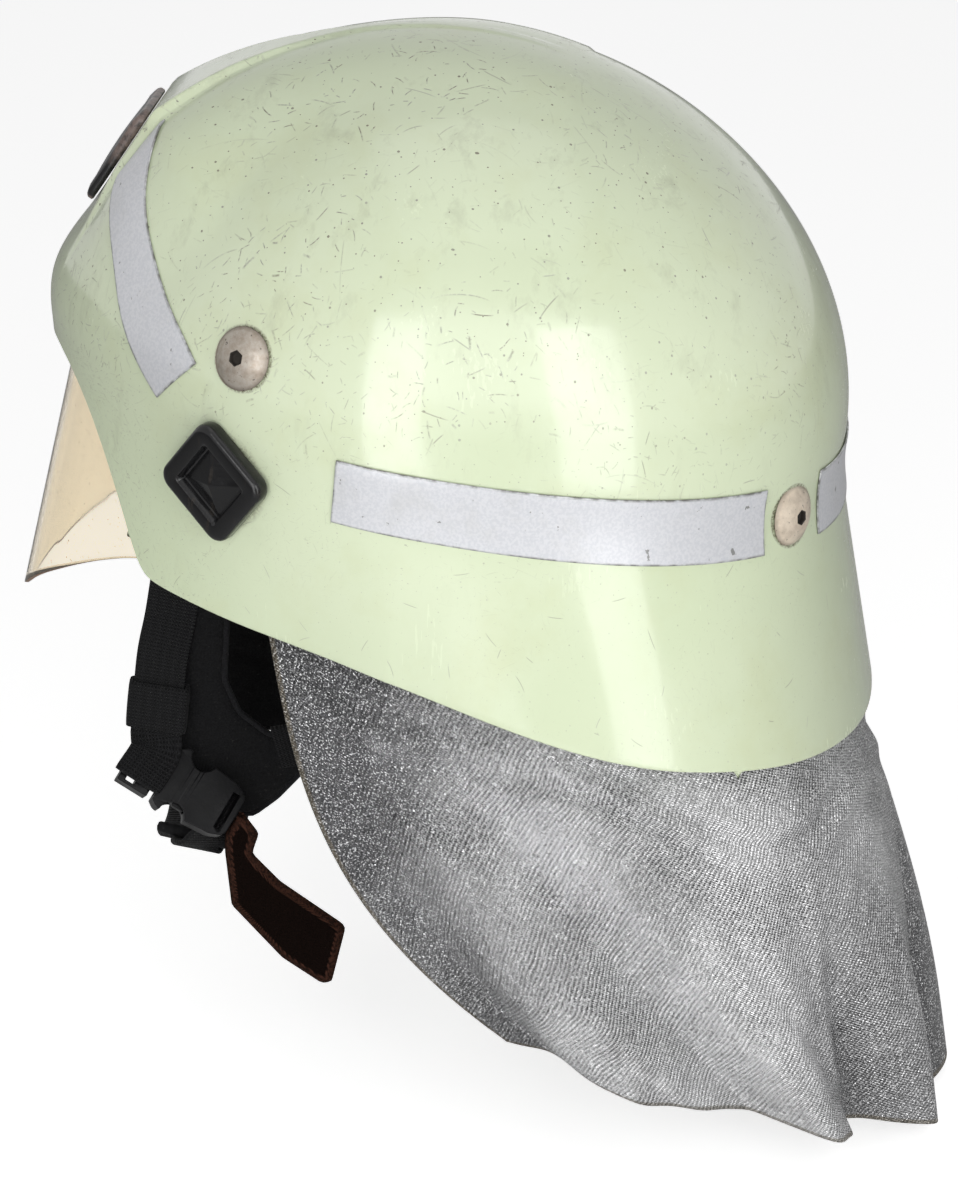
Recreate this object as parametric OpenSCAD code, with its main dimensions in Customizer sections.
// Firefighter's helmet: a moulded shell with a neck guard, a swinging visor, an adjustable harness,
// a chin strap with a side-release buckle and a hanging neck curtain.
// +Z is up, the front faces -Y and the wearer's left is +X. The origin is the centre of the support ring.

/* [Shell] */
// Half width of the shell at its widest level
shell_half_w = 124; // [118:1:130]
// Reach of the brow in front of the crown axis
shell_front = 154; // [150:1:158]
// Reach of the back behind the crown axis
shell_back = 156.5; // [150:0.5:162]
// Height of the crown above the widest level
crown_h = 134.5; // [128:0.5:142]
// Wall thickness of the shell
wall_t = 3.2; // [2.6:0.1:4]
// Share by which the plan narrows towards the brow
brow_narrowing = 0.29; // [0.2:0.01:0.32]
// Outward swell of the brow
brow_swell = 6; // [4:0.5:8]
// Slope of the flared neck guard
guard_flare = 0.48; // [0.36:0.02:0.56]
// Brow-up tilt of the shell on a level head
rake = 8; // [6:0.5:10]

/* [Rim] */
// Height of the front rim, below the widest level
rim_front_drop = 5.5; // [2:0.5:9]
// Drop of the rim at the cheek corner
rim_corner_drop = 75.5; // [68:0.5:82]
// Further drop of the rim along the neck guard
guard_drop = 10; // [4:0.5:16]

/* [Raised front panel] */
// Height of the panel above the dome at the emblem's upper end
panel_h = 8.8; // [5:0.2:10]
// Half width of the panel at the emblem
panel_half_w = 24; // [18:1:28]
// Lean of the emblem's seat, back from upright
seat_lean = 26.4; // [24:0.2:29]
// Distance of the emblem's seat from the crown axis
seat_reach = 150.3; // [149:0.1:152]

/* [Emblem plate] */
// Width of the plate
plate_w = 40; // [36:1:48]
// Height of the plate
plate_h = 44; // [40:1:50]
// Thickness of the plate
plate_t = 3; // [2:0.5:4]

/* [Reflective strips] */
// Width of every strip
strip_w = 25; // [20:1:28]
// Thickness of the film
strip_t = 0.5; // [0.3:0.1:0.8]
// Height of the side strips' upper edge above the widest level
strip_top = 2.8; // [0:0.2:6]

/* [Shell screws] */
// Diameter of the screw heads
screw_head_d = 23.5; // [20:0.5:25]
// Height of the domed screw heads
screw_head_h = 4.6; // [3:0.2:6]
// Diameter of the screws
screw_d = 6; // [5:0.5:6]
// Plan angle of the front screws, from the brow
front_screw_turn = 63; // [60:1:65]
// Height of the front screws above the widest level
front_screw_z = 28; // [24:1:31]
// Plan angle of the rear screws, from the brow
rear_screw_turn = 150; // [149:0.5:151]
// Depth of the rear screws below the widest level
rear_screw_drop = 10.5; // [8:0.5:13]

/* [Visor] */
// Height of the visor's pivot, below the origin
pivot_drop = 38; // [36:1:40]
// Distance of the visor's pivot in front of the origin
pivot_front = 68; // [66:1:70]
// Half width of the visor at its pivots
visor_half_w = 87.5; // [86:0.5:89]
// Reach of the visor in front of its pivots, at the height of the origin
visor_reach = 83.5; // [82.5:0.1:84]
// Forward slope of the visor's face
visor_slope = 0.25; // [0.16:0.01:0.26]
// Thickness of the visor
visor_t = 2; // [1.5:0.5:2.5]
// Depth of the visor's tip below the origin
visor_tip_drop = 98; // [90:1:104]
// Diameter of the pivot pins
pivot_pin_d = 7; // [5:0.5:8]

/* [Visor knobs] */
// Side of the square knob
knob_w = 36; // [32:1:40]
// Height of the knob
knob_h = 7; // [5:0.5:9]
// Corner radius of the knob
knob_r = 6; // [4:1:8]
// Side of the square recess in the knob
recess_w = 20; // [16:1:22]
// Plan angle of the knobs, from the brow
knob_turn = 62; // [60:1:64]
// Depth of the knobs below the widest level
knob_drop = 20; // [17:1:23]
// Diameter of the knob's shaft
knob_shaft_d = 10; // [8:0.5:11]

/* [Harness] */
// Inner half width of the headband
head_half_w = 84; // [80:1:86]
// Inner reach of the headband in front of the origin
head_front = 102; // [98:1:104]
// Inner reach of the headband behind the origin
head_back = 106; // [102:1:110]
// Height of the headband
band_h = 33; // [28:1:36]
// Height of the cradle's crown above the origin
cradle_h = 94; // [88:1:100]
// Width of the cradle's webbing
cradle_w = 22; // [18:1:24]
// Diameter of the ratchet knob at the nape
ratchet_d = 34; // [30:1:36]

/* [Chin strap] */
// Width of the chin strap's webbing
web_w = 20; // [18:1:22]
// Thickness of the webbing
web_t = 1.8; // [1.4:0.1:2.2]
// Length of the side-release buckle's receiver
receiver_l = 34; // [30:1:36]

/* [Neck curtain] */
// Drop of the curtain's hem below the origin, at the back
hem_drop = 311; // [290:1:325]
// Drop of the curtain's front corners below the origin
corner_drop = 246; // [230:1:256]
// Thickness of the cloth and its lining
curtain_t = 2; // [1.6:0.1:2.4]

/* [Hidden] */

shell_color = [0.8, 0.88, 0.7];
silver = [0.78, 0.79, 0.81];
black = [0.06, 0.06, 0.07];
steel = [0.6, 0.57, 0.53];

dome_power = 1.9;
back_power = 2.25;
dome_share = 0.6;
swell_z = 18;
swell_spread = 17;
wall_lean = 0.15;
flare_start = 5;
flare_round = 8;
rim_round = 5;
rim_sweep = 0.072;
rim_power = 1.73;
corner_y = -90;
side_slope = 0.06;
guard_drop_y = -26;
guard_drop_l = 140;
panel_fade_end = 105;
panel_step = 2.5;
panel_skirt = 50;
clearance = 0.3;
seat_gap = 0.3;
film_gap = 0.6;

function smooth(x) = let(c = max(0, min(1, x))) c * c * (3 - 2 * c);
function soft(x, k) = k * ln(1 + exp(x / k));
function unit(v) = v / norm(v);
function tilt(p) = [p.x, p.y * cos(rake) + p.z * sin(rake), p.z * cos(rake) - p.y * sin(rake)];
function mirrored(p) = [-p.x, p.y, p.z];

// The shell's outline at its widest level, at plan angle u from the brow
function plan(u) = cos(u) > 0
    ? [shell_half_w * sin(u) * (1 - brow_narrowing * pow(cos(u), 2)), -shell_front * cos(u)]
    : [shell_half_w * sign(sin(u)) * pow(abs(sin(u)), 2 / back_power),
       shell_back * pow(-cos(u), 2 / back_power)];

// How far the wall stands outside that outline, at depth d below the widest level
function wall_out(u, d) = let(
        front = smooth((cos(u) - 0.1) / 0.9),
        back = smooth((0.35 - cos(u)) / 1.2))
    guard_flare * back * (soft(d - flare_start, flare_round) - soft(-flare_start, flare_round))
    - wall_lean * d * (1 - front);

function swell(u, z) = brow_swell * pow(max(cos(u), 0), 2) * exp(-pow((z - swell_z) / swell_spread, 2) / 2);

// Height of the rim at a distance y from the crown axis
function rim_z(y) = let(
        front = -rim_front_drop - rim_sweep * pow(max(y + shell_front, 0), rim_power),
        side = -rim_corner_drop - side_slope * (y - corner_y)
            - guard_drop * smooth((y - guard_drop_y) / guard_drop_l))
    max(front, side) + soft(-abs(front - side), rim_round);

function rim_depth(u, passes = 5, z = -60) = let(
        p = plan(u),
        k = 1 + (wall_out(u, -z) + swell(u, z)) / norm(p),
        next = min(rim_z(p.y * k), -6))
    passes == 0 ? z : rim_depth(u, passes - 1, next);

// A point of the outer skin at plan angle u and height z
function skin_at(u, z) = let(
        p = plan(u),
        s = z > 0 ? pow(1 - pow(min(z / crown_h, 1), dome_power), 1 / dome_power) : 1,
        k = z > 0 ? s * (1 + swell(u, z) / norm(p)) : 1 + (wall_out(u, -z) + swell(u, z)) / norm(p))
    [p.x * k, p.y * k, z];

// A point of the outer skin at plan angle u, where t runs from the crown at 0 to the rim at 1
function skin(u, t) = let(z = t <= dome_share
        ? crown_h * pow(max(cos(90 * t / dome_share), 0), 2 / dome_power)
        : rim_depth(u) * (t - dome_share) / (1 - dome_share))
    t <= dome_share && z < 0.001 ? [for (c = concat(plan(u) * (1 + swell(u, 0) / norm(plan(u))), [0])) c]
    : skin_at(u, z);

// The same skin over a square, a running from brow to back and b from right to left
function cap(a, b) = let(
        y = a * sqrt(1 - b * b / 2),
        x = b * sqrt(1 - a * a / 2),
        t = min(norm([x, y]), 1))
    t < 0.0001 ? [0, 0, crown_h] : skin(atan2(x, -y), t);

function cap_normal(a, b, d = 0.004) = unit(cross(
    cap(min(a + d, 1), b) - cap(max(a - d, -1), b),
    cap(a, min(b + d, 1)) - cap(a, max(b - d, -1))) * -1);

function skin_normal(u, z) = unit(cross(
    skin_at(u + 0.5, z) - skin_at(u - 0.5, z),
    skin_at(u, z + 0.5) - skin_at(u, z - 0.5)));

function on_skin(u, z, lift = 0) = skin_at(u, z) + skin_normal(u, z) * lift;
function on_shell(u, z, lift = 0) = raised(skin_at(u, z)) + skin_normal(u, z) * lift;

// The raised front panel: its reach from the crown axis at elevation e, and its half width
function dome_reach(e) = pow(pow(max(cos(e), 0.001) / shell_front, dome_power)
    + pow(max(sin(e), 0) / crown_h, dome_power), -1 / dome_power);
function panel_reach(e) = e < 14 || e > panel_fade_end ? 0 : min(
    seat_reach / max(cos(e - seat_lean), 0.2),
    dome_reach(min(e, 90)) + panel_h * lookup(e, [[36, 1], [49, 0.74], [59, 0.5], [70, 0.38], [105, 0]]));
function panel_w(e) = panel_half_w * lookup(e, [[36, 1], [40, 0.84], [49, 0.5], [59, 0.25], [70, 0.08]]);
function panel_side(x, w) = 0.35 * (1 - smooth((abs(x) - w) / panel_step))
    + 0.65 * (1 - smooth((abs(x) - w) / panel_skirt));
function raised(p) = let(
        r = norm([p.y, p.z]),
        e = atan2(p.z, -p.y),
        up = max(panel_reach(e) - r, 0) * panel_side(p.x, panel_w(e)),
        k = 1 + up / max(r, 1))
    [p.x, p.y * k, p.z * k];

// Columns of the grid close in on the panel's edges
panel_cols = 3;
function column(j, n, edge, foot) = abs(j) <= panel_cols
    ? edge * j / panel_cols
    : sign(j) * (foot + (1 - foot) * (abs(j) - panel_cols - 1) / (n - panel_cols - 1));

// A closed slab between two grids of points of the same size
module slab(top, bottom) {
    rows = len(top);
    cols = len(top[0]);
    n = rows * cols;
    rim = concat(
        [for (j = [0:cols - 2]) j],
        [for (i = [0:rows - 2]) i * cols + cols - 1],
        [for (j = [cols - 1:-1:1]) (rows - 1) * cols + j],
        [for (i = [rows - 1:-1:1]) i * cols]);
    polyhedron(
        points = concat([for (r = top) each r], [for (r = bottom) each r]),
        faces = concat(
            [for (i = [0:rows - 2], j = [0:cols - 2]) let(k = i * cols + j) each
                [[k, k + 1, k + cols + 1], [k, k + cols + 1, k + cols],
                 [n + k, n + k + cols + 1, n + k + 1], [n + k, n + k + cols, n + k + cols + 1]]],
            [for (m = [0:len(rim) - 1]) let(p = rim[m], q = rim[(m + 1) % len(rim)]) each
                [[p, n + p, n + q], [p, n + q, q]]]));
}

// A flat ribbon along a route, with its width direction at each point
function ribbon_normals(route, across) = [for (i = [0:len(route) - 1]) unit(cross(
    route[min(i + 1, len(route) - 1)] - route[max(i - 1, 0)], across[min(i, len(across) - 1)]))];
function ribbon_grid(route, across, w, lift) = let(n = ribbon_normals(route, across))
    [for (i = [0:len(route) - 1]) [for (s = [-0.5, 0.5]) route[i] + unit(across[i]) * w * s + n[i] * lift]];
module ribbon(route, across, w, t) {
    slab(ribbon_grid(route, across, w, -t / 2), ribbon_grid(route, across, w, t / 2));
}

// Stands what is drawn along +Z at point p, along direction n, turned by roll about it
module stand(p, n, roll = 0) {
    translate(p) rotate([0, acos(n.z / norm(n)), atan2(n.y, n.x)]) rotate([0, 0, roll]) children();
}

module both_sides() {
    children();
    mirror([1, 0, 0]) children();
}

// Places on the shell, in the tilted frame of the part
front_screw_p = tilt(on_skin(front_screw_turn, front_screw_z));
front_screw_n = tilt(skin_normal(front_screw_turn, front_screw_z));
rear_screw_p = tilt(on_skin(rear_screw_turn, -rear_screw_drop));
rear_screw_n = tilt(skin_normal(rear_screw_turn, -rear_screw_drop));
knob_p = tilt(on_skin(knob_turn, -knob_drop));
knob_n = tilt(skin_normal(knob_turn, -knob_drop));
pivot = [0, -pivot_front, -pivot_drop];

// The hole of a screw, and the flat seat cut for its head
module screw_hole() {
    translate([0, 0, -12]) cylinder(h = 24, d = screw_d + 0.4, $fn = 32);
    translate([0, 0, -0.05]) cylinder(h = 6, d = screw_head_d + 1, $fn = 48);
}

shell_rows = 44;
shell_cols = 16;
module shell() color(shell_color) {
    half = [for (i = [0:shell_rows]) let(
            a = -1 + 2 * i / shell_rows,
            p = cap(a, 0),
            scale_x = cap(a, 0.05).x / 0.05,
            w = max(panel_w(atan2(p.z, -p.y)), 7))
        [for (j = [-shell_cols:shell_cols]) [a, column(j, shell_cols, w / scale_x, (w + panel_step) / scale_x)]]];
    outer = [for (r = half) [for (c = r) tilt(raised(cap(c[0], c[1])))]];
    inner = [for (r = half) [for (c = r) tilt(cap(c[0], c[1]) - cap_normal(c[0], c[1]) * wall_t)]];
    difference() {
        slab(outer, inner);
        both_sides() {
            stand(front_screw_p, front_screw_n) screw_hole();
            stand(rear_screw_p, rear_screw_n) screw_hole();
            stand(knob_p, knob_n) translate([0, 0, -12]) cylinder(h = 24, d = knob_shaft_d + 0.6, $fn = 32);
        }
    }
}

// The plate stands on the flat of the raised panel
plate_mid = 0.5;
plate_out = [0, -cos(seat_lean), sin(seat_lean)];
plate_along = [0, sin(seat_lean), cos(seat_lean)];
plate_seat = max([for (k = [-1:0.2:1])
    raised(skin_at(0, (plate_out * seat_reach + plate_along * k * plate_h / 2).z)) * plate_out]);
module emblem_plate() color(black) {
    mid = plate_out * (plate_seat + clearance) + plate_along * plate_mid;
    rotate([-rake, 0, 0]) translate(mid) rotate([90 - seat_lean, 0, 0])
        linear_extrude(plate_t) hull() for (s = [-1, 1]) {
            translate([s * (plate_w / 2 - 5), plate_h / 2 - 5]) circle(5, $fn = 32);
            translate([s * (plate_w / 2 - 9), -plate_h / 2 + 5]) circle(5, $fn = 32);
        }
}

module film(grid) {
    lift = film_gap;
    color(silver) slab(
        [for (r = grid) [for (c = r) tilt(on_shell(c[0], c[1], lift + strip_t))]],
        [for (r = grid) [for (c = r) tilt(on_shell(c[0], c[1], lift))]]);
}

// A strip between two edges, each a list of plan angle and height
module edge_strip(lower, upper) {
    film([for (i = [0:len(lower) - 1]) [for (k = [0:3]) lower[i] + (upper[i] - lower[i]) * k / 3]]);
}
strip_low_edge = [[50, 1], [46, 9], [42, 17.5], [37.5, 26], [33, 33.5], [28, 40], [23, 45.5], [20, 48.5]];
strip_high_edge = [[56, 20], [52.5, 27], [48, 34.5], [44, 41], [39, 48], [33.5, 55], [27, 62], [24, 65.5]];
module front_strips() both_sides() edge_strip(strip_low_edge, strip_high_edge);

module level_strip(from, to, steps) {
    film([for (i = [0:steps]) [for (k = [0:3]) [from + (to - from) * i / steps, strip_top - strip_w + strip_w * k / 3]]]);
}
side_strip_from = 79.5;
side_strip_to = 142.3;
rear_strip_from = 158.3;
module side_strips() both_sides() level_strip(side_strip_from, side_strip_to, 14);
module rear_strip() level_strip(rear_strip_from, 360 - rear_strip_from, 12);

// A domed screw with a hex socket, standing on the skin, its shank reaching into the anchor
shank_l = wall_t + 12;
module shell_screw() {
    r = screw_head_d / 2;
    bulge_r = (r * r + screw_head_h * screw_head_h) / (2 * screw_head_h);
    difference() {
        union() {
            translate([0, 0, seat_gap]) rotate_extrude($fn = 64) intersection() {
                translate([0, screw_head_h - bulge_r]) circle(bulge_r, $fn = 96);
                square([r, screw_head_h]);
            }
            translate([0, 0, -shank_l]) cylinder(h = shank_l + seat_gap + 0.4, d = screw_d, $fn = 32);
        }
        translate([0, 0, screw_head_h - 2.4]) cylinder(h = 4, d = 5.6, $fn = 6);
    }
}
module front_screws() color(steel) both_sides() stand(front_screw_p, front_screw_n) shell_screw();
module rear_screws() color([0.82, 0.77, 0.68]) both_sides() stand(rear_screw_p, rear_screw_n) shell_screw();

// Threaded anchors behind the wall
anchor_d = 14;
anchor_h = 7;
anchor_set = 1.7;
module anchor() {
    translate([0, 0, -wall_t - anchor_set - anchor_h]) difference() {
        cylinder(h = anchor_h, d = anchor_d, $fn = 48);
        translate([0, 0, -1]) cylinder(h = anchor_h + 2, d = screw_d + 0.2, $fn = 32);
    }
}
module front_anchors() color(steel) both_sides() stand(front_screw_p, front_screw_n) anchor();
module rear_anchors() color(steel) both_sides() stand(rear_screw_p, rear_screw_n) anchor();

// The visor's face at angle v from its middle and height z. Its sides are tucked in and taper downwards
visor_narrowing = 0.38;
visor_tuck = 5;
visor_taper = 3.5;
function visor_taper_at(v) = visor_taper * smooth((abs(v) - 30) / 30) * (1 - smooth((abs(v) - 66) / 16));
function visor_at(v, z, inset = 0) = [
    (visor_half_w - inset) * sin(v) * (1 - visor_narrowing * pow(cos(v), 2)) - visor_tuck * sin(v) * pow(sin(2 * v), 2)
        - sign(v) * visor_taper_at(v) * max(pivot.z - z, 0) / 20,
    -pivot_front - (visor_reach + visor_slope * max(-z, -30) - 2 - inset) * cos(v) + 2 * (1 - cos(v)),
    z];
function visor_low(v) = let(c = abs(v)) lookup(c,
    [[0, -visor_tip_drop], [8, -visor_tip_drop + 2], [35, -visor_tip_drop + 21], [60, -visor_tip_drop + 38], [76, -53], [90, -53]]);
function visor_high(v) = -24 + 46 * pow(cos(v), 1.3);
visor_span = 86;
visor_steps = 36;
visor_rows = 7;
function visor_grid(inset) = [for (k = [0:visor_rows]) [for (i = [0:visor_steps]) let(
        v = -visor_span + 2 * visor_span * i / visor_steps,
        z = visor_high(v) + (visor_low(v) - visor_high(v)) * k / visor_rows)
    visor_at(v, z, inset)]];
module visor_lens() color([0.85, 0.66, 0.35, 0.5]) slab(visor_grid(0), visor_grid(visor_t));

// Arms that carry the lens on its pivots: a plate that follows the lens inside, and an eye for the pin
arm_t = 2.5;
arm_gap = 0.3;
arm_h = 22;
arm_front = 70;
arm_x = visor_half_w - visor_t - arm_gap - arm_t - 2.8;
function arm_grid(inset) = [for (z = [pivot.z + arm_h / 2, pivot.z - arm_h / 2]) [for (i = [0:8])
    visor_at(arm_front + (visor_span - arm_front) * i / 8, z, inset)]];
module visor_arms() color(black) both_sides() difference() {
    union() {
        slab(arm_grid(visor_t + arm_gap), arm_grid(visor_t + arm_gap + arm_t));
        translate([arm_x, pivot.y, pivot.z]) rotate([0, 90, 0]) cylinder(h = arm_t + 1, d = arm_h, $fn = 64);
    }
    translate([arm_x - 2, pivot.y, pivot.z]) rotate([0, 90, 0])
        cylinder(h = arm_t + 5, d = pivot_pin_d + 0.1, $fn = 48);
}
pin_l = 15.8;
module visor_pins() color(steel) both_sides() translate([arm_x - 2, pivot.y, pivot.z]) rotate([0, 90, 0]) {
    cylinder(h = pin_l, d = pivot_pin_d, $fn = 48);
    translate([0, 0, -1.6]) cylinder(h = 1.8, d = pivot_pin_d + 5, $fn = 48);
}

// Blocks inside the shell: each holds a visor pin and hangs on the knob's shaft
block_t = 4;
block_x = visor_half_w + 1.2;
block_set = 1;
module pivot_blocks() color(black) both_sides() difference() {
    hull() {
        translate([block_x, pivot.y, pivot.z]) rotate([0, 90, 0]) cylinder(h = block_t, d = 16, $fn = 32);
        stand(knob_p, knob_n) translate([0, 0, -wall_t - block_set - block_t]) cylinder(h = block_t, d = 20, $fn = 32);
    }
    translate([block_x - 4, pivot.y, pivot.z]) rotate([0, 90, 0])
        cylinder(h = block_t + 8, d = pivot_pin_d + 0.1, $fn = 48);
    stand(knob_p, knob_n) {
        translate([0, 0, -30]) cylinder(h = 40, d = knob_shaft_d + 0.1, $fn = 48);
        translate([0, 0, -wall_t - block_set - block_t - 12]) cylinder(h = 12, d = nut_d + 1, $fn = 48);
    }
}

// Square knob with a raised border, a square recess and a pyramid in it, and a shaft through the wall
knob_gap = 0.9;
nut_h = 3.5;
nut_d = knob_shaft_d + 7;
nut_set = wall_t + block_set + block_t + 0.4;
shaft_l = knob_gap + nut_set + nut_h + 0.8;
module knob_body() {
    difference() {
        union() {
            hull() for (x = [-1, 1], y = [-1, 1]) translate([x, y, 0] * (knob_w / 2 - knob_r)) {
                cylinder(h = knob_h - 2.5, r = knob_r, $fn = 32);
                cylinder(h = knob_h, r = knob_r - 2.5, $fn = 32);
            }
            translate([0, 0, -shaft_l]) cylinder(h = shaft_l + 1, d = knob_shaft_d, $fn = 48);
        }
        translate([-recess_w / 2, -recess_w / 2, knob_h - 3.5]) cube([recess_w, recess_w, 4]);
    }
    translate([0, 0, knob_h - 3.6]) linear_extrude(height = 3.2, scale = 0.02)
        square(recess_w - 1.6, center = true);
}
knob_roll = 49;
module knob_left() color(black) stand(knob_p + knob_n * knob_gap, knob_n, knob_roll) knob_body();
module knob_right() color(black) mirror([1, 0, 0]) knob_left();
module knob_nut_left() color(steel) stand(knob_p, knob_n) translate([0, 0, -nut_set - nut_h]) difference() {
    cylinder(h = nut_h, d = nut_d, $fn = 48);
    translate([0, 0, -1]) cylinder(h = nut_h + 2, d = knob_shaft_d + 0.1, $fn = 48);
}
module knob_nut_right() color(steel) mirror([1, 0, 0]) knob_nut_left();

// Outline around the head, pushed out by off, between two angles from the brow
head_power = 2.4;
function head_point(a, off) = let(
        c = cos(a),
        s = sin(a),
        reach = c > 0 ? head_front : head_back,
        r = pow(pow(abs(c) / (reach + off), head_power) + pow(abs(s) / (head_half_w + off), head_power), -1 / head_power))
    [r * s, -r * c];
module head_arc(from, to, inner, outer, steps) {
    polygon(concat(
        [for (i = [0:steps]) head_point(from + (to - from) * i / steps, outer)],
        [for (i = [steps:-1:0]) head_point(from + (to - from) * i / steps, inner)]));
}
module head_ring(inner, outer, steps) difference() {
    polygon([for (i = [0:steps - 1]) head_point(360 * i / steps, outer)]);
    polygon([for (i = [0:steps - 1]) head_point(360 * i / steps, inner)]);
}

function ring_point(turn, off, z) = let(p = head_point(turn, off)) [p.x, p.y, z];
function ring_side(turn) = unit(ring_point(turn + 1, 0, 0) - ring_point(turn - 1, 0, 0));

ring_h = 12;
ring_t = 3;
band_t = 2;
band_top = -ring_h / 2 - clearance;
module support_ring() color(black) translate([0, 0, -ring_h / 2]) linear_extrude(ring_h) head_ring(0, ring_t, 72);
module headband() color(black) translate([0, 0, band_top - band_h]) linear_extrude(band_h)
    head_arc(-112, 112, 0, band_t, 48);
sweat_t = 4;
sweat_gap = 0.3;
module sweatband() color([0.12, 0.1, 0.09]) translate([0, 0, band_top - band_h - 1]) linear_extrude(band_h - 2)
    head_arc(-100, 100, -sweat_gap - sweat_t, -sweat_gap, 40);

// Three webbing straps that cross over the head, one over the other, their legs inside the ring
cradle_t = 1.4;
cradle_in = 1.3;
leg_drop = 5;
cradle_steps = 20;
function leg_point(turn) = ring_point(turn, -cradle_in - cradle_t / 2, 0);
function cradle_route(turn, top) = let(a = leg_point(turn), b = leg_point(turn + 180)) concat(
    [a - [0, 0, leg_drop]],
    [for (i = [0:cradle_steps]) let(e = 180 * i / cradle_steps) (e < 90 ? a : b) * abs(cos(e)) + [0, 0, top * sin(e)]],
    [b - [0, 0, leg_drop]]);
function cradle_side(turn, e) = let(m = pow(sin(e), 2)) unit(
    (e < 90 ? ring_side(turn) : -ring_side(turn + 180)) * (1 - m) + unit(cross([0, 0, 1], leg_point(turn))) * m);
function cradle_across(turn) = [for (i = [-1:cradle_steps + 1])
    cradle_side(turn, max(0, min(180, 180 * i / cradle_steps)))];
module cradle_strap(turn, top) {
    ribbon(cradle_route(turn, top), cradle_across(turn), cradle_w, cradle_t);
}
module cradle_straps() color(black) for (i = [0:2])
    cradle_strap(60 * i, cradle_h - (cradle_t + clearance) * i - cradle_t / 2);

pad_r = 34;
pad_t = 6;
cradle_low = cradle_h - 3 * cradle_t - 2 * clearance;
function under_cradle(r) = cradle_low * sqrt(1 - pow(r / (head_half_w - cradle_in - cradle_t), 2)) - clearance - 0.3;
module crown_pad() color([0.12, 0.1, 0.09]) rotate_extrude($fn = 48) polygon(concat(
    [for (i = [0:8]) [pad_r * i / 8, under_cradle(pad_r * i / 8)]],
    [for (i = [8:-1:0]) let(r = pad_r * i / 8) [i == 8 ? r - 2 : r, under_cradle(r) - (i == 8 ? 2.5 : pad_t)]]));

// Hangers from the anchors to the support ring: a pad on the screw and a tongue down the ring
hanger_w = 18;
hanger_t = 2.4;
anchor_back = wall_t + anchor_set + anchor_h;
module hanger_bar(turn, z) {
    stand(ring_point(turn, ring_t + clearance + hanger_t / 2 + 0.4, z), ring_side(turn))
        cylinder(h = hanger_w, d = hanger_t, center = true, $fn = 16);
}
module hanger_pad(p, n) {
    stand(p, n) translate([0, 0, -anchor_back - clearance - hanger_t]) cylinder(h = hanger_t, d = hanger_w, $fn = 32);
}
module hanger(p, n, turn) {
    difference() {
        union() {
            hull() {
                hanger_pad(p, n);
                hanger_bar(turn, ring_h / 2 + 3);
            }
            hull() {
                hanger_bar(turn, ring_h / 2 + 3);
                hanger_bar(turn, -ring_h / 2 + 1);
            }
        }
        stand(p, n) translate([0, 0, -anchor_back - 14]) cylinder(h = 20, d = screw_d + 0.6, $fn = 32);
    }
}
front_ring_turn = 58;
rear_ring_turn = 151;
module front_hangers() color(black) both_sides() hanger(front_screw_p, front_screw_n, front_ring_turn);
module rear_hangers() color(black) both_sides() hanger(rear_screw_p, rear_screw_n, rear_ring_turn);

// Nape band outside the headband's ends; it slides fore and aft
nape_gap = 0.9;
nape_t = 2;
nape_h = 20;
nape_z = band_top - band_h + 5;
rack_h = 8;
module nape_band() color(black) translate([0, 0, nape_z]) linear_extrude(nape_h)
    head_arc(104, 256, band_t + nape_gap, band_t + nape_gap + nape_t, 40);
nape_back = head_back + band_t + nape_gap + nape_t;
ratchet_z = nape_z + nape_h / 2;
housing_l = 12;
pinion_r = 5;
module ratchet_housing() color(black) translate([0, nape_back + clearance, ratchet_z]) rotate([-90, 0, 0]) difference() {
    linear_extrude(housing_l) hull() for (s = [-1, 1]) translate([s * 14, 0]) circle(12, $fn = 48);
    translate([0, 0, 3]) cylinder(h = 7, r = pinion_r + 2.3, $fn = 48);
    translate([0, 0, 8]) cylinder(h = 5, d = 6.3, $fn = 48);
}
module ratchet_pinion() color(steel) translate([0, nape_back + clearance + 3.3, ratchet_z]) rotate([-90, 0, 0]) {
    linear_extrude(6.2) for (i = [0:9]) rotate([0, 0, 36 * i]) translate([0, -1.1]) square([pinion_r + 1.6, 2.2]);
    cylinder(h = 6.2, r = pinion_r - 0.6, $fn = 48);
    cylinder(h = 13.5, d = 6.2, $fn = 48);
}
grips = 16;
module ratchet_knob() color(black) translate([0, nape_back + clearance + housing_l + 0.8, ratchet_z]) rotate([-90, 0, 0])
    difference() {
        cylinder(h = 9, d = ratchet_d, $fn = 64);
        for (i = [0:grips - 1]) rotate([0, 0, 360 * i / grips]) translate([ratchet_d / 2 + 0.6, 0, -1])
            cylinder(h = 11, d = 3.4, $fn = 24);
        translate([0, 0, -1]) cylinder(h = 5.2, d = 6.3, $fn = 48);
    }

// The buckle's own frame has the strap along +X and its face up
buckle_p = [57, -110.5, -155];
buckle_pitch = 33;
buckle_roll = 50;
receiver_w = 27;
receiver_h = 9;
insert_l = 14;
buckle_along = [0, cos(buckle_pitch), -sin(buckle_pitch)];
buckle_out = [sin(buckle_roll), cos(buckle_roll) * sin(buckle_pitch), cos(buckle_roll) * cos(buckle_pitch)];
buckle_across = cross(buckle_out, buckle_along);
function in_buckle(x, y, z) = buckle_p + buckle_along * x + buckle_across * y + buckle_out * z;

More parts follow.
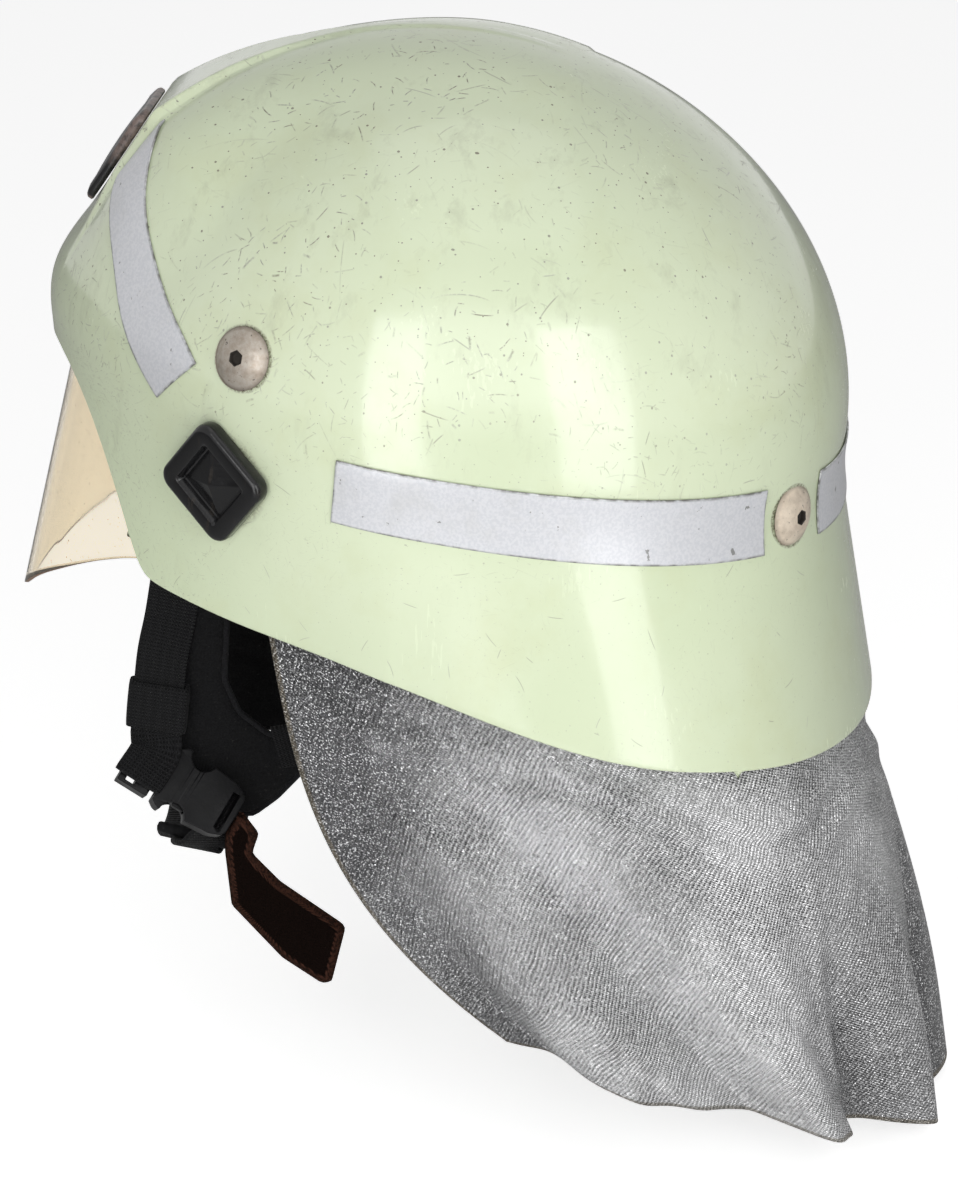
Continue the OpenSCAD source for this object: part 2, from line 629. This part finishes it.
// Chin strap: webbing from the ring over the cheek panel and out over the buckle's insert
strap_turn = 38;
strap_top = ring_point(strap_turn, ring_t + clearance + web_t / 2 + 0.1, 4);
panel_lean = 9.5;
panel_t = 3.2;
cheek_x = 59.7;
function on_panel(y, z, lift) = [cheek_x + (panel_t + lift) / cos(panel_lean) + (z + 52) * tan(panel_lean), y, z];
sewn = 0.4;
run_from = [60.2, -106.5, -102];
run_to = [59, -110.5, -134.5];
strap_route = [strap_top, strap_top - [0, 0, 14], on_panel(-90, -38, sewn + web_t / 2), on_panel(-95, -52, sewn + web_t / 2),
    on_panel(-98, -62, sewn + web_t / 2), on_panel(-103, -86, sewn + 0.6 + web_t / 2), run_from, run_to,
    run_to + unit(run_to - run_from) * 1.5];
strap_lie = [-0.05, 0.95, -0.3];
strap_across = [-ring_side(strap_turn), -ring_side(strap_turn), strap_lie, strap_lie,
    strap_lie, strap_lie, [0, 0.97, -0.24], [0, 0.97, -0.24], [0, 0.97, -0.24]];
insert_lift = receiver_h + clearance + web_t / 2 + 0.3;
module front_strap_left() color(black) ribbon(
    concat(strap_route, [in_buckle(-7, 6, insert_lift), in_buckle(-7, -9, insert_lift)]),
    concat(strap_across, [buckle_along, buckle_along]), web_w, web_t);
right_end = [57.5, -112.5, -152];
module front_strap_right() color(black) mirror([1, 0, 0]) ribbon(
    concat(strap_route, [right_end]), concat(strap_across, [[0, 0.97, -0.24]]), web_w, web_t);

// Cheek panels: padded cloth plates that lean in towards the chin, behind the strap and its keeper
cheek_outline = [[-106, -52], [-81, -52], [-81, -84], [-84, -116], [-79, -131], [-68, -141], [-44, -147], [-48, -150],
    [-66, -172], [-76, -181], [-96, -181], [-108, -168], [-112, -146], [-108, -110], [-105, -80]];
module cheek_panel_left() color(black) translate([cheek_x, 0, -52]) rotate([0, panel_lean, 0])
    translate([0, 0, 52]) rotate([90, 0, 90]) linear_extrude(panel_t) polygon(cheek_outline);
module cheek_panel_right() color(black) mirror([1, 0, 0]) cheek_panel_left();

// Rear straps run back from the cheek panels to the rear hangers
rear_down = unit(rear_screw_n * rear_screw_n.z - [0, 0, 1]);
rear_end = rear_screw_p - rear_screw_n * (anchor_back + clearance + hanger_t / 2) + rear_down * (hanger_w / 2 + 0.5);
rear_side = unit(cross(rear_down, rear_screw_n));
rear_route = [on_panel(-64, -145, sewn + web_t / 2), on_panel(-50, -142, sewn + web_t / 2), [60, -32, -137],
    [74, -6, -128], [80, 26, -112], [78, 60, -90], [71, 94, -66], rear_end + rear_down * 14, rear_end];
rear_across = [[sin(panel_lean), 0, cos(panel_lean)], [sin(panel_lean), 0, cos(panel_lean)], [0, 0.2, 1], [0, 0.35, 0.95],
    [0, 0.5, 0.9], [0.1, 0.65, 0.8], [0.3, 0.65, 0.6], -rear_side, -rear_side];
module rear_strap_left() color(black) ribbon(rear_route, rear_across, web_w, web_t);
module rear_strap_right() color(black) mirror([1, 0, 0]) rear_strap_left();

// The keeper is a loop that slides along the straight run of the front strap
keeper_l = 20;
keeper_wall = 2;
keeper_room = 0.3;
keeper_dir = unit(run_to - run_from);
keeper_at = run_to - keeper_dir * (keeper_l / 2 + 1);
keeper_side = unit([0, 0.97, -0.24] - keeper_dir * (keeper_dir * [0, 0.97, -0.24]));
keeper_out = cross(keeper_side, keeper_dir);
module strap_keeper() color(black) multmatrix([
        [keeper_out.x, keeper_side.x, keeper_dir.x, keeper_at.x],
        [keeper_out.y, keeper_side.y, keeper_dir.y, keeper_at.y],
        [keeper_out.z, keeper_side.z, keeper_dir.z, keeper_at.z],
        [0, 0, 0, 1]])
    difference() {
        cube([web_t + 2 * (keeper_room + keeper_wall), web_w + 2 * (keeper_room + keeper_wall), keeper_l], center = true);
        cube([web_t + 2 * keeper_room, web_w + 2 * keeper_room, keeper_l + 2], center = true);
    }

// Side-release buckle at the jaw
module at_buckle() multmatrix([
        [buckle_along.x, buckle_across.x, buckle_out.x, buckle_p.x],
        [buckle_along.y, buckle_across.y, buckle_out.y, buckle_p.y],
        [buckle_along.z, buckle_across.z, buckle_out.z, buckle_p.z],
        [0, 0, 0, 1]])
    children();
module buckle_receiver() color(black) at_buckle() difference() {
    linear_extrude(receiver_h) hull() {
        translate([2, -receiver_w / 2 + 2]) square([receiver_l - 8, receiver_w - 4]);
        for (s = [-1, 1]) translate([6, s * (receiver_w / 2 - 4)]) circle(4, $fn = 32);
        for (s = [-1, 1]) translate([receiver_l - 4, s * (receiver_w / 2 - 7)]) circle(4, $fn = 32);
    }
    translate([-1, -9.5, 2]) cube([receiver_l - 7, 19, receiver_h - 4]);
    for (s = [-1, 1]) translate([12, s * receiver_w / 2, -1]) cylinder(h = receiver_h + 2, r = 5.5, $fn = 48);
    translate([receiver_l - 5.4, -8, -1]) cube([3, 16, receiver_h + 2]);
}
module buckle_insert() color(black) at_buckle() difference() {
    union() {
        translate([-insert_l, -12, 0.6]) cube([insert_l - 0.4, 24, receiver_h - 1.2]);
        translate([-0.6, -2.5, 2.4]) cube([18, 5, receiver_h - 4.8]);
    }
    translate([-insert_l + 3, -10.5, -1]) cube([4, 21, receiver_h + 2]);
}
prong_points = [[0.2, 4], [0.2, 7], [10, 8.6], [10.5, 9.2], [15, 9.2], [17.5, 6], [14, 5.4], [6, 4.6]];
module prong() {
    linear_extrude(receiver_h - 4.8) polygon(prong_points);
}
module buckle_prong_front() color(black) at_buckle() translate([0, 0, 2.4]) mirror([0, 1, 0]) prong();
module buckle_prong_rear() color(black) at_buckle() translate([0, 0, 2.4]) prong();

// A pad under the chin, and the webbing below it from the receiver to the right front strap
chin_pad_w = 34;
chin_pad_t = 5;
pad_route = [[43, -98.5, -189], [31, -100, -196.5], [17, -101, -200.5], [2, -102, -202], [-12, -103, -200.5], [-25, -104, -195]];
pad_across = [[0, 0.97, -0.22], [0, 0.98, -0.15], [0, 1, -0.05], [0, 1, 0], [0, 1, 0], [0, 1, 0]];
module chin_pad() color(black) ribbon(pad_route, pad_across, chin_pad_w, chin_pad_t);
under_pad = let(n = ribbon_normals(pad_route, pad_across))
    [for (i = [0:len(pad_route) - 1]) pad_route[i] + n[i] * ((chin_pad_t + web_t) / 2 + sewn)];
chin_route = concat([in_buckle(30, 0, -web_t / 2 - 0.1), in_buckle(30, 0, -7), under_pad[0] + [4.5, 4, 4]],
    under_pad, [[-40, -110, -184], [-50.5, -113.5, -160], right_end.x * [-1, 0, 0] + [web_t + sewn + 0.4, -112.2, -151],
    [-run_to.x + web_t + sewn + 0.4, -111, -139]]);
chin_across = concat([buckle_across, buckle_across, [-0.35, 0.85, 0.1]], pad_across,
    [[0, 0.98, -0.2], [0, 0.97, -0.24], [0, 0.97, -0.24], [0, 0.97, -0.24]]);
module chin_strap() color(black) ribbon(chin_route, chin_across, web_w, web_t);

// Hook-and-loop tab: the loose end of the chin webbing beyond the receiver
tab_t = 3;
tab_x = 60;
tab_gap = 0.7;
tab_c = buckle_p.y * buckle_along.y + buckle_p.z * buckle_along.z + receiver_l + tab_gap;
function tab_top(z) = [(tab_c - z * buckle_along.z) / buckle_along.y, z];
tab_outline = concat([tab_top(-177.5), tab_top(-167)], [[-70, -177], [-73, -186], [-62, -198], [-37, -216], [-36, -218],
    [-42, -243], [-46, -244], [-62, -233], [-82, -210], [-84, -186]]);
module hook_tab() color([0.2, 0.13, 0.1]) translate([tab_x, 0, 0]) rotate([90, 0, 90]) linear_extrude(tab_t) polygon(tab_outline);

// The curtain hangs from a rail inside the neck guard
curtain_from = 69;
function rim_inside(u, inset, up) = let(z = rim_depth(u) + up) tilt(skin_at(u, z) - skin_normal(u, z) * inset);
rail_w = 3;
rail_h = 8;
rail_up = 5;
rail_gap = 0.7;
function rail_row(inset, up) = [for (i = [0:40]) rim_inside(curtain_from + (360 - 2 * curtain_from) * i / 40, inset, up)];
module curtain_rail() color(black) slab(
    [rail_row(wall_t + rail_gap, rail_up), rail_row(wall_t + rail_gap, rail_up + rail_h)],
    [rail_row(wall_t + rail_gap + rail_w, rail_up), rail_row(wall_t + rail_gap + rail_w, rail_up + rail_h)]);

// Main folds: where around the hem each lies, how wide it is and how far it stands out
folds = [[-96, 9, 7], [-74, 11, -8], [-52, 9, 9], [-33, 9, -7], [-14, 10, 7], [6, 9, -6], [24, 9, 8], [36, 6, -9],
    [49, 6, 11], [64, 10, -7], [82, 9, 6], [94, 5, -8]];
hem_half_w = 98;
hem_mid_y = 60;
hem_back_y = 206;
hem_sweep = 101;
fold_start = 0.12;
curtain_set = wall_t + rail_gap + rail_w + clearance + curtain_t / 2 + 0.2;
function sum_of(v, i = 0) = i >= len(v) ? 0 : v[i] + sum_of(v, i + 1);
function fold_out(w, t) = smooth((t - fold_start) / 0.75)
    * sum_of([for (f = folds) f[2] * exp(-pow((w - f[0]) / f[1], 2))]);
// A point of the cloth, s running from the right front edge at -1 to the left at 1, t from the rail to the hem
function curtain_at(s, t, lift = 0) = let(
        u = 180 - s * (180 - curtain_from),
        rim = rim_inside(u, curtain_set - lift, 0),
        head = rim_inside(u, curtain_set - lift, rail_up + rail_h - 1),
        w = s * hem_sweep,
        out = [sin(w), cos(w), 0],
        low = [hem_half_w * sin(w), hem_mid_y + (hem_back_y - hem_mid_y) * cos(w),
            -hem_drop + (hem_drop - corner_drop) * pow(abs(w) / hem_sweep, 1.6)] + out * lift,
        back = t + (0.65 * pow(t, 3.2) - 0.65 * t) * pow(abs(s), 3),
        belly = 5 * sin(180 * t))
    t <= 0 ? head
    : [rim.x + (low.x - rim.x) * t, rim.y + (low.y - rim.y) * back, rim.z + (low.z - rim.z) * t]
        + out * (fold_out(w, t) + belly);
curtain_cols = 52;
curtain_rows = 10;
function curtain_grid(lift) = [for (k = [-1:curtain_rows]) [for (i = [0:curtain_cols])
    curtain_at(1 - 2 * i / curtain_cols, k < 0 ? 0 : 0.001 + 0.999 * k / curtain_rows, lift)]];
module neck_curtain() color(silver) slab(curtain_grid(curtain_t / 2), curtain_grid(-curtain_t / 2));

shell();
emblem_plate();
front_strips();
side_strips();
rear_strip();
front_screws();
rear_screws();
front_anchors();
rear_anchors();
visor_lens();
visor_arms();
visor_pins();
pivot_blocks();
knob_left();
knob_right();
knob_nut_left();
knob_nut_right();
support_ring();
headband();
sweatband();
cradle_straps();
crown_pad();
front_hangers();
rear_hangers();
nape_band();
ratchet_housing();
ratchet_knob();
ratchet_pinion();
front_strap_left();
front_strap_right();
cheek_panel_left();
cheek_panel_right();
rear_strap_left();
rear_strap_right();
strap_keeper();
chin_strap();
chin_pad();
buckle_receiver();
buckle_insert();
buckle_prong_front();
buckle_prong_rear();
hook_tab();
curtain_rail();
neck_curtain();
